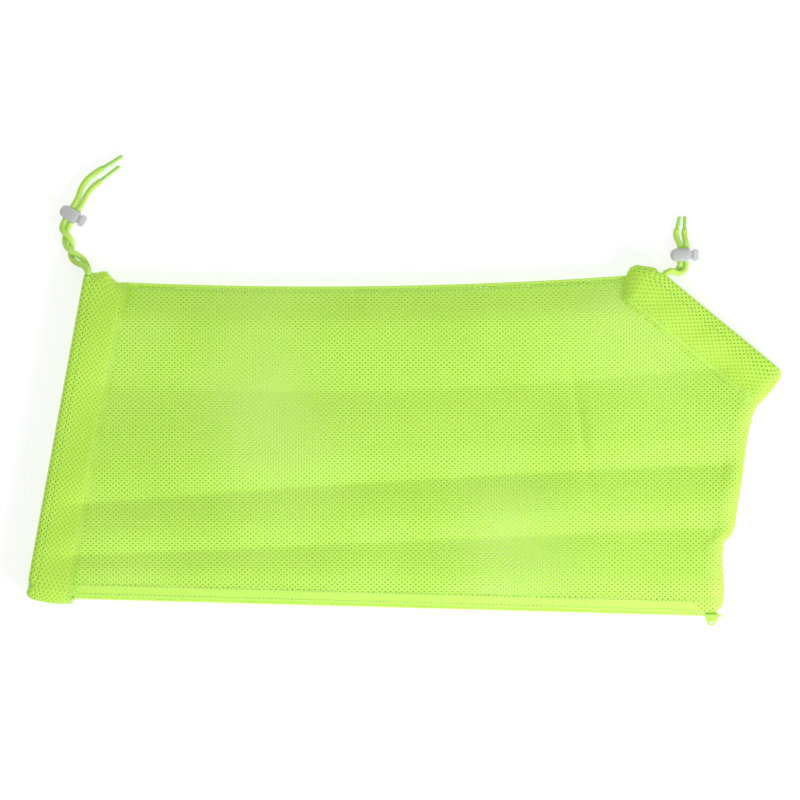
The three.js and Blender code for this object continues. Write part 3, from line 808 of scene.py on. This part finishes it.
def rounded_lock(side, low, high, share):
    """A box to an egg: each coordinate u of three is scaled by root(1 - v^2/2 - w^2/2 + v^2 w^2/3).

    Local x is the button's way, from low to high in millimetres. Only a share of the move is made, and a
    point past either end of the box stays where it is.
    """
    centre, angle = LOCKS[side]
    d = direction(angle)
    origin = np.array([*centre, LOCK_HEIGHT]) * MM
    half = (np.array(high) - np.array(low)) / 2 * MM
    mid = (np.array(high) + np.array(low)) / 2 * MM

    def reshape(points):
        """Into the lock's own box, towards the egg, and back again."""
        p = points - origin
        local = np.stack([p[:, 0] * d[0] + p[:, 1] * d[1], p[:, 1] * d[0] - p[:, 0] * d[1], p[:, 2]], -1)
        u = (local - mid) / half
        v, w = np.roll(np.clip(u, -1, 1), -1, 1) ** 2, np.roll(np.clip(u, -1, 1), -2, 1) ** 2
        egg = u * np.sqrt(1 - v / 2 - w / 2 + v * w / 3)
        kept = np.where((u[:, :1] < -1.02) | (u[:, :1] > 1.02), 0.0, share)
        local = (u + (egg - u) * kept) * half + mid
        x = local[:, 0] * d[0] - local[:, 1] * d[1]
        y = local[:, 0] * d[1] + local[:, 1] * d[0]
        return np.stack([x, y, local[:, 2]], -1) + origin

    return reshape


slider = eased("slider_shell", "zip_slider", "zip_slider", SLIDER_EDGE)
stops = [eased(f"{end}_stop", f"zip_stop_{end}", "bag", SMALL_EDGE) for end in ("closed_end", "open_end")]
lock_parts = []
for side in ("left", "right"):
    shell = eased(f"{side}_lock_shell", f"{side}_lock_body", f"{side}_lock", SMALL_EDGE,
                  rounded_lock(side, *SHELL_BOX, SHELL_ROUND))
    button = eased(f"{side}_lock_plunger", f"{side}_lock_button", f"{side}_button", SMALL_EDGE,
                   rounded_lock(side, *BUTTON_BOX, BUTTON_ROUND))
    lock_parts += [shell, button]
print("lock parts", [piece.name for piece in lock_parts])

# %% [markdown]
# The zip's pull is a small moulded loop with an open eye. It is a flattened ring, swept round a rounded
# rectangle, and a knuckle round the pin that it swings on. The rectangle is a circle whose cosine and
# sine are raised to powers below one, and the knuckle is a short profile turned about the pin.

# %% Zip pull
SLIDER_AT = 444 * MM
PIN_OUT = 2.6 * MM
LOOP_OUT = 4.0 * MM
LOOP_HALF = (1.85 * MM, 1.7 * MM)
LOOP_THICK = (0.72 * MM, 0.6 * MM)
LOOP_STEPS, LOOP_SIDES, KNUCKLE_SIDES = 48, 10, 16
a = 2 * np.pi * np.arange(LOOP_STEPS) / LOOP_STEPS
loop_x = LOOP_HALF[0] * np.sign(np.cos(a)) * np.abs(np.cos(a)) ** 0.6
loop_out = LOOP_OUT + LOOP_HALF[1] * np.sign(np.sin(a)) * np.abs(np.sin(a)) ** 0.75
loop_path = np.stack([loop_x, loop_out], -1)
outward = unit(loop_path - np.array([0, LOOP_OUT]))
b = 2 * np.pi * np.arange(LOOP_SIDES) / LOOP_SIDES
wide = LOOP_THICK[0] * np.cos(b)[None, :, None] * outward[:, None]
ring_xy = loop_path[:, None] + wide
ring_z = np.broadcast_to(LOOP_THICK[1] * np.sin(b), (LOOP_STEPS, LOOP_SIDES))
ring_points = zip_point(SLIDER_AT + ring_xy[..., 0], -ring_xy[..., 1], MIDDLE + ring_z)
i, j = np.meshgrid(np.arange(LOOP_STEPS), np.arange(LOOP_SIDES), indexing="ij")
next_i, next_j = (i + 1) % LOOP_STEPS, (j + 1) % LOOP_SIDES
loop_faces = np.stack([
    i * LOOP_SIDES + j, i * LOOP_SIDES + next_j, next_i * LOOP_SIDES + next_j, next_i * LOOP_SIDES + j],
    -1).reshape(-1, 4)
knuckle_run = np.array([-2.6, -2.45, -2.2, 2.2, 2.45, 2.6]) * MM
knuckle_r = np.array([0.6, 0.85, 1.0, 1.0, 0.85, 0.6]) * MM
rings = len(knuckle_r)
c = 2 * np.pi * np.arange(KNUCKLE_SIDES) / KNUCKLE_SIDES
knuckle = zip_point(
    np.broadcast_to(SLIDER_AT + knuckle_run[:, None], (rings, KNUCKLE_SIDES)),
    -PIN_OUT + knuckle_r[:, None] * np.cos(c), MIDDLE + knuckle_r[:, None] * np.sin(c))
first = LOOP_STEPS * LOOP_SIDES
low_cap = np.arange(KNUCKLE_SIDES)[::-1]
high_cap = np.arange(KNUCKLE_SIDES) + (rings - 1) * KNUCKLE_SIDES
caps = first + np.stack([low_cap, high_cap])
pull = make_piece(
    "pull_loop", np.vstack([ring_points.reshape(-1, 3), knuckle.reshape(-1, 3)]),
    loop_faces, grid_faces(rings, KNUCKLE_SIDES) + first, caps, body="zip_pull")
turned = bmesh.new()
turned.from_mesh(pull.data)
bmesh.ops.recalc_face_normals(turned, faces=turned.faces)
turned.to_mesh(pull.data)
turned.free()
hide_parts("zip_pull")
print("pull loop", len(pull.data.polygons), "faces")

# %% [markdown]
# The sewing is what makes a hem look sewn. One stitch is a small spindle, and hundreds of copies of it
# follow each seam line. They are placed as one array, so a whole seam is a single mesh.

# %% Stitching
STITCH = 2.1 * MM
STITCH_GAP = 0.7 * MM
THREAD_R = 0.26 * MM
RINGS, SIDES = 5, 6
ZIP_ROWS = (("", 10.2 * MM), ("_lower", 4.2 * MM))
ZIP_ROW_LIFT = 0.84 * MM
TOP_ROW_IN = 4.4 * MM
CORD_ROW_IN = 7.5 * MM


def stitches(name, path, lift):
    """Spindles along a path: point = centre + k along + r(k) (cos b side + sin b up) + sink(k) up.

    lift is the way out of the cloth, and up is its part square to the path.
    """
    at, length = measured(path)
    count = int(length / (STITCH + STITCH_GAP))
    middle = (np.arange(count) + 0.5) * length / count
    centre, back, fore = (np.stack(at(middle + d * STITCH / 2), -1) for d in (0, -0.9, 0.9))
    along = unit(fore - back)
    lift = unit(np.broadcast_to(lift, along.shape))
    side = unit(np.cross(along, lift))
    up = np.cross(side, along)
    k = np.array([-1, -0.7, 0, 0.7, 1])
    r = THREAD_R * np.array([0.35, 0.8, 1, 0.8, 0.35])
    sink = THREAD_R * np.array([-1.1, 0.1, 0.5, 0.1, -1.1])
    b = 2 * np.pi * np.arange(SIDES) / SIDES
    local = (
        along[:, None, None] * (k * STITCH / 2)[None, :, None, None]
        + side[:, None, None] * (r[:, None] * np.cos(b))[None, ..., None]
        + up[:, None, None] * (r[:, None] * np.sin(b) + sink[:, None])[None, ..., None])
    points = centre[:, None, None] + local
    one = grid_faces(RINGS, SIDES)
    caps = np.stack([np.arange(SIDES)[::-1], np.arange(SIDES) + (RINGS - 1) * SIDES])
    first_corner = RINGS * SIDES * np.arange(count)[:, None, None]
    faces = (one[None] + first_corner).reshape(-1, 4)
    ends = (caps[None] + first_corner).reshape(-1, SIDES)
    piece = make_piece(name, points.reshape(-1, 3), faces[:, ::-1], ends[:, ::-1])
    return piece


def hem_line(mouth_place, loop, into):
    """The line round a hem at one distance into the bag, on its outer layer, and the way out of it."""
    u = np.linspace(0, loop, 900)
    v = np.full_like(u, HEM_DEPTH - into)
    line = mouth_place(u, v, np.zeros_like(u))
    above = mouth_place(u, v, np.full_like(u, 0.2 * MM))
    return line, above - line


threads = []
for name, mouth_place, loop, into in (
    ("left_hem_stitches", left_place, left_loop, 29.4 * MM),
    ("right_hem_stitches", right_place, right_loop, 31.2 * MM),
    ("right_hem_stitches_inner", right_place, right_loop, 27.8 * MM),
    ("left_cord_stitches", left_place, left_loop, CORD_ROW_IN),
    ("right_cord_stitches", right_place, right_loop, CORD_ROW_IN),
):
    line, away = hem_line(mouth_place, loop, into)
    count = int(length_of(line) / (STITCH + STITCH_GAP))
    middle_away = away[np.linspace(0, len(away) - 1, count).astype(int)]
    threads.append(stitches(name, line, middle_away))
for half, side in (("front", 1), ("back", -1)):
    run = np.linspace(1 * MM, TAPE_LENGTH - 1 * MM, 800)
    for row, inset in ZIP_ROWS:
        z = MIDDLE + side * (0.5 * GAP + rise(inset) + ZIP_ROW_LIFT)
        threads.append(stitches(f"zip_{half}_stitches{row}", zip_point(run, inset, z), side * UP))
    seam_line = seam_path - seam_out * TOP_ROW_IN
    seam_line[:, 2] = MIDDLE + side * (0.5 * GAP + MESH_HALF + rise(TOP_ROW_IN) + 0.05 * MM)
    threads.append(stitches(f"top_{half}_stitches", seam_line, side * UP))
print(len(threads), "seams,", sum(len(t.data.polygons) for t in threads), "faces")

# %% [markdown]
# The floor is plain and pale. It gives a little light of its own, as a lit table under a product does, so
# that no shadow gathers round the bag.

# %% Floor
FLOOR_HALF = 4
FLOOR_Z = -1e-4
floor_mesh = bpy.data.meshes.new("table")
corners = [(sx * FLOOR_HALF, sy * FLOOR_HALF, FLOOR_Z) for sx, sy in ((-1, -1), (1, -1), (1, 1), (-1, 1))]
floor_mesh.from_pydata(corners, [], [(0, 1, 2, 3)])
floor = bpy.data.objects.new("table", floor_mesh)
bpy.context.collection.objects.link(floor)

# %% [markdown]
# A finish is a small tree of nodes. To keep its maths readable, a Socket stands for one output, and plus,
# minus and times on it add the Math node for each. Every other node comes from one function.

# %% Material helpers
class Socket:
    """One output in a material's node tree. An operator on it adds a Math node."""

    def __init__(self, tree, output):
        self.tree = tree
        self.output = output

    def math(self, operation, *values):
        """A Math node with these values or links in its sockets, in their order."""
        return node(self.tree, "Math", {"operation": operation}, dict(enumerate(values)))

    def __add__(self, other):
        return self.math("ADD", self, other)

    def __sub__(self, other):
        return self.math("SUBTRACT", self, other)

    def __rsub__(self, other):
        return self.math("SUBTRACT", other, self)

    def __mul__(self, other):
        return self.math("MULTIPLY", self, other)

    __radd__ = __add__
    __rmul__ = __mul__


def node(tree, kind, settings=None, inputs=None, output=0):
    """Any shader node: its settings first, then the values or links of its sockets."""
    made = tree.nodes.new("ShaderNode" + kind)
    for key, value in (settings or {}).items():
        setattr(made, key, value)
    for key, value in (inputs or {}).items():
        if isinstance(value, Socket):
            tree.links.new(value.output, made.inputs[key])
        else:
            made.inputs[key].default_value = value
    return Socket(tree, made.outputs[output])


def finish(name, recipe, **constants):
    """A material whose recipe gets the tree and its object coordinates and returns colour, rough, bump."""
    material = bpy.data.materials.new(name)
    material.use_nodes = True
    tree = material.node_tree
    shader = tree.nodes["Principled BSDF"]
    for socket, value in constants.items():
        shader.inputs[socket.replace("_", " ")].default_value = value
    place = node(tree, "TexCoord", output=3)
    colour, rough, bump = recipe(tree, place)
    tree.links.new(colour.output, shader.inputs["Base Color"])
    tree.links.new(rough.output, shader.inputs["Roughness"])
    tree.links.new(bump.output, shader.inputs["Normal"])
    return material


def noise(tree, place, scale, detail=2.0):
    """A cloudy value of about a half, with scale clouds to the metre."""
    return node(tree, "TexNoise", inputs={"Vector": place, "Scale": scale, "Detail": detail})


def mix(tree, factor, a, b):
    """Colour a where the factor is nought and colour b where it is one."""
    return node(tree, "Mix", {"data_type": "RGBA"}, {0: factor, 6: (*a, 1), 7: (*b, 1)}, output=2)


def bump(tree, height, strength, distance):
    """The surface's normal, tilted by the slope of a height."""
    return node(tree, "Bump", inputs={"Height": height, "Strength": strength, "Distance": distance})


def put(material, pieces):
    """One material on every piece of a list."""
    for piece in pieces:
        piece.data.materials.clear()
        piece.data.materials.append(material)


# %% [markdown]
# The knit is bright lime polyester. Its dye takes a little differently from place to place, and its fine
# filaments run along the rows. The turned hems are two layers deep, so they are a shade deeper. The cloth,
# like the tapes and the zip's moulded parts, also gives a little light of its own: a painted glow that
# lifts its shaded sides, so that even these stay yellow-green.

# %% Cloth finishes
def yarn_recipe(light, deep):
    """A recipe for knitted yarn between two colours."""
    def recipe(tree, place):
        """Colour moves between light and deep with a slow cloud and a fine fleck; the bump is filaments."""
        cloud = noise(tree, place, 14.0, 3.0)
        fleck = noise(tree, place, 900.0, 1.0)
        raw = cloud * 1.1 + fleck * 0.7 - 0.45
        depth = raw.math("MAXIMUM", raw, 0.0)
        colour = mix(tree, depth, light, deep)
        filaments = node(tree, "TexWave", {"bands_direction": "DIAGONAL"},
                         {"Vector": place, "Scale": 620.0, "Distortion": 3.0, "Detail": 1.0})
        height = filaments * 0.6 + fleck * 0.4
        return colour, fleck * 0.2 + 0.55, bump(tree, height, 0.35, 0.0002)
    return recipe


LIME_LIGHT = (0.49, 0.785, 0.13)
LIME_DEEP = (0.37, 0.65, 0.065)
HEM_LIGHT = (0.485, 0.77, 0.10)
HEM_DEEP = (0.365, 0.635, 0.047)
# Painted light: a glow of the material's own that lifts the shaded sides of the knit, hems, tapes and zip
# parts.
SHADE_LIFTING_GLOW = {"Emission_Color": (0.50, 0.80, 0.03, 1), "Emission_Strength": 0.16}
knit_yarn = finish("knit_yarn", yarn_recipe(LIME_LIGHT, LIME_DEEP), Sheen_Weight=0.1, **SHADE_LIFTING_GLOW)
hem_yarn = finish("hem_yarn", yarn_recipe(HEM_LIGHT, HEM_DEEP), Sheen_Weight=0.1, **SHADE_LIFTING_GLOW)


def tape_recipe(tree, place):
    """A plain weave: two sets of fine ribs crossing, which also give the colour its grain."""
    warp = node(tree, "TexWave", {"bands_direction": "X"},
                {"Vector": place, "Scale": 420.0, "Distortion": 0.6})
    weft = node(tree, "TexWave", {"bands_direction": "Y"},
                {"Vector": place, "Scale": 520.0, "Distortion": 0.6})
    cloud = noise(tree, place, 30.0)
    weave = warp.math("MAXIMUM", warp, weft)
    colour = mix(tree, (1 - weave) * 0.5 + cloud * 0.4, (0.50, 0.78, 0.13), (0.40, 0.68, 0.07))
    return colour, weave * -0.15 + 0.75, bump(tree, weave, 0.4, 0.0002)


# The tapes carry the same painted glow, which lifts their shade.
woven_tape = finish("woven_tape", tape_recipe, Sheen_Weight=0.1, **SHADE_LIFTING_GLOW)


def thread_recipe(tree, place):
    """Twisted thread: a fine slanting ripple."""
    twist = node(tree, "TexWave", {"bands_direction": "DIAGONAL"}, {"Vector": place, "Scale": 900.0})
    colour = mix(tree, twist, (0.385, 0.67, 0.14), (0.54, 0.82, 0.28))
    return colour, twist * 0.1 + 0.5, bump(tree, twist, 0.3, 0.0001)


thread = finish("thread", thread_recipe)

# %% [markdown]
# The cord's grooves are painted darker than its crowns, a painted shade, and the value kept on its points
# says which is which.
# The zip's stops are steel with a lime enamel, so their finish is a glossy plastic one. The coil's wire is
# painted paler than the slider and gives a little light of its own: painted light that lifts the shade
# between its turns. The locks are frosted clear plastic.

# %% Cord, plastic and metal finishes
def cord_recipe(tree, place):
    """Colour follows the crown value, darker in the grooves as painted shade, with a fine fibre fleck over
    it.
    """
    crown = node(tree, "Attribute", {"attribute_name": "crown"}, output=2)
    fleck = noise(tree, place, 1400.0, 1.0)
    # Painted shade: darker where the crown value is low, in the grooves.
    colour = mix(tree, (1 - crown) * 0.6 + fleck * 0.2, (0.58, 0.88, 0.16), (0.38, 0.66, 0.06))
    return colour, fleck * 0.2 + 0.5, bump(tree, fleck, 0.25, 0.0002)


braid = finish("braid", cord_recipe, Sheen_Weight=0.2)


def plastic_recipe(light, deep, scale):
    """A recipe for moulded plastic between two colours."""
    def recipe(tree, place):
        """Moulded plastic: a faint cloud in colour and a slight unevenness that softens the gloss."""
        cloud = noise(tree, place, scale, 3.0)
        return mix(tree, cloud, light, deep), cloud * 0.15 + 0.25, bump(tree, cloud, 0.15, 0.0004)
    return recipe


tip_plastic = finish("tip_plastic", plastic_recipe((0.42, 0.74, 0.14), (0.33, 0.64, 0.09), 180.0),
                     Coat_Weight=0.3)
# Painted light: the slider, the pull and the stops also carry the glow that lifts their shade.
zip_plastic = finish("zip_plastic", plastic_recipe((0.48, 0.76, 0.12), (0.38, 0.64, 0.07), 260.0),
                     Coat_Weight=0.2, **SHADE_LIFTING_GLOW)
zip_enamel = finish("zip_enamel", plastic_recipe((0.48, 0.76, 0.12), (0.40, 0.66, 0.08), 260.0),
                    Coat_Weight=0.6, **SHADE_LIFTING_GLOW)
# Painted light: a paler colour and a glow of its own lift the shade between the coil's turns.
coil_wire_painted_light = finish("coil_wire_painted_light", plastic_recipe((0.62, 0.90, 0.24), (0.54, 0.84, 0.16), 400.0),
                   Emission_Color=(0.55, 0.85, 0.10, 1), Emission_Strength=0.35)
frosted = finish("frosted", plastic_recipe((0.82, 0.83, 0.82), (0.68, 0.70, 0.70), 140.0),
                 Transmission_Weight=0.35, IOR=1.49, Subsurface_Weight=0.1,
                 Subsurface_Radius=(0.002, 0.002, 0.002))


def steel_recipe(tree, place):
    """Nickel-plated steel with fine scratches."""
    scratch = noise(tree, place, 2200.0, 1.0)
    colour = mix(tree, scratch, (0.72, 0.71, 0.69), (0.55, 0.55, 0.54))
    return colour, scratch * 0.2 + 0.22, bump(tree, scratch, 0.1, 0.0001)


steel = finish("steel", steel_recipe, Metallic=1.0)


def table_recipe(tree, place):
    """Matt white board with a barely visible cloud."""
    cloud = noise(tree, place, 3.0)
    colour = mix(tree, cloud, (0.46, 0.46, 0.46), (0.44, 0.44, 0.44))
    return colour, cloud * 0.05 + 0.8, bump(tree, cloud, 0.02, 0.001)


table = finish("table", table_recipe, Emission_Color=(1, 1, 1, 1), Emission_Strength=0.66,
               Specular_IOR_Level=0.0)

# %% [markdown]
# Each piece gets its finish by name. The measured parts that stay as they are get theirs the same way.

# %% Dress the pieces
put(knit_yarn, [front, back])
put(hem_yarn, [left_hem, right_hem, side_fold])
put(woven_tape, [top_seam, *tapes])
put(thread, threads)
put(braid, cord_pieces)
put(tip_plastic, tip_pieces)
put(zip_plastic, [slider, pull])
put(coil_wire_painted_light, coils)
put(zip_enamel, stops)
put(frosted, lock_parts)
put(table, [floor])
for name in ("zip_pull_pin", "left_lock_spring", "right_lock_spring"):
    bpy.data.objects[name].material_slots[0].material = steel
print(len(bpy.data.materials), "materials")
